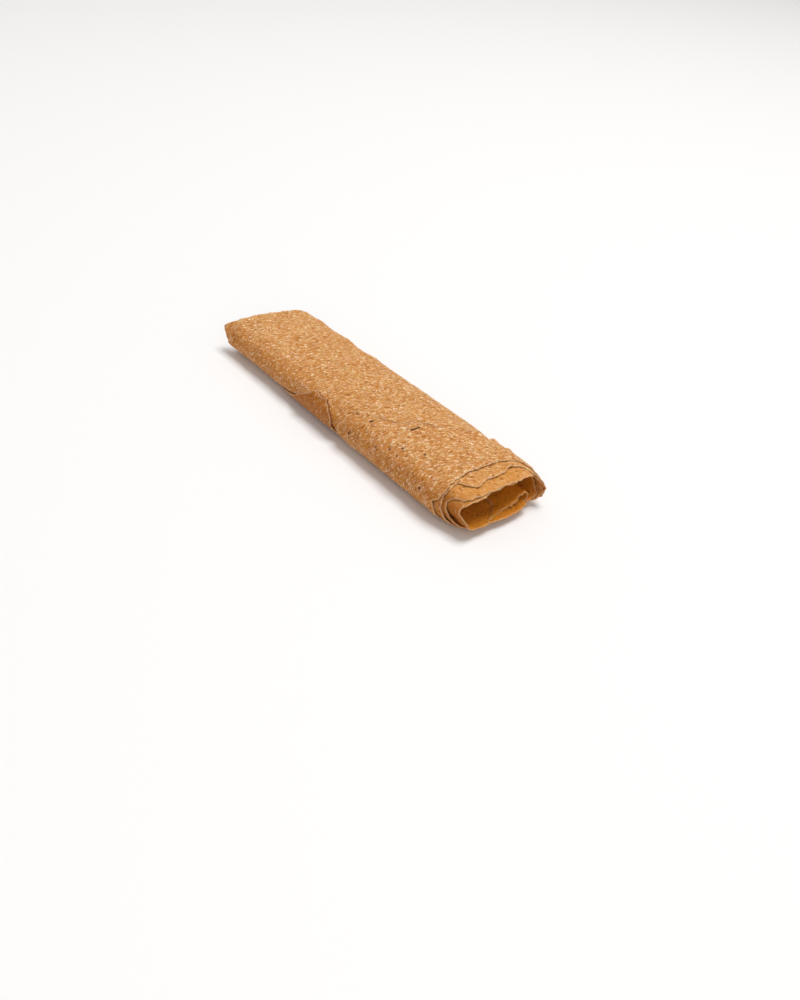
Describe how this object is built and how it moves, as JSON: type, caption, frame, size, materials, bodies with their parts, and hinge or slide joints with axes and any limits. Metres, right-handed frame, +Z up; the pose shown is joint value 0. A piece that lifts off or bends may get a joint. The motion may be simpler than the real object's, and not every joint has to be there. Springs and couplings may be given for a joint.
{
  "type": "lace crepe cookie",
  "caption": "Lace crepe cookie: a thin crisp baked sheet rolled round itself and pressed into a flat oval tube, open at both ends, with torn edges.",
  "frame": {"origin": "on the surface that the roll rests on, under the middle of the roll's box", "axes": "+X along the roll towards the end where the inner turns stand out, +Y to the right seen from that end, +Z up"},
  "size_m": [0.0878, 0.0236, 0.0096],
  "materials": {
    "baked_crepe": "thin baked crepe, caramel tan, finely pitted, matt with small buttery glints"
  },
  "bodies": {
    "root": {"crepe_roll": "baked_crepe"}
  },
  "joints": []
}
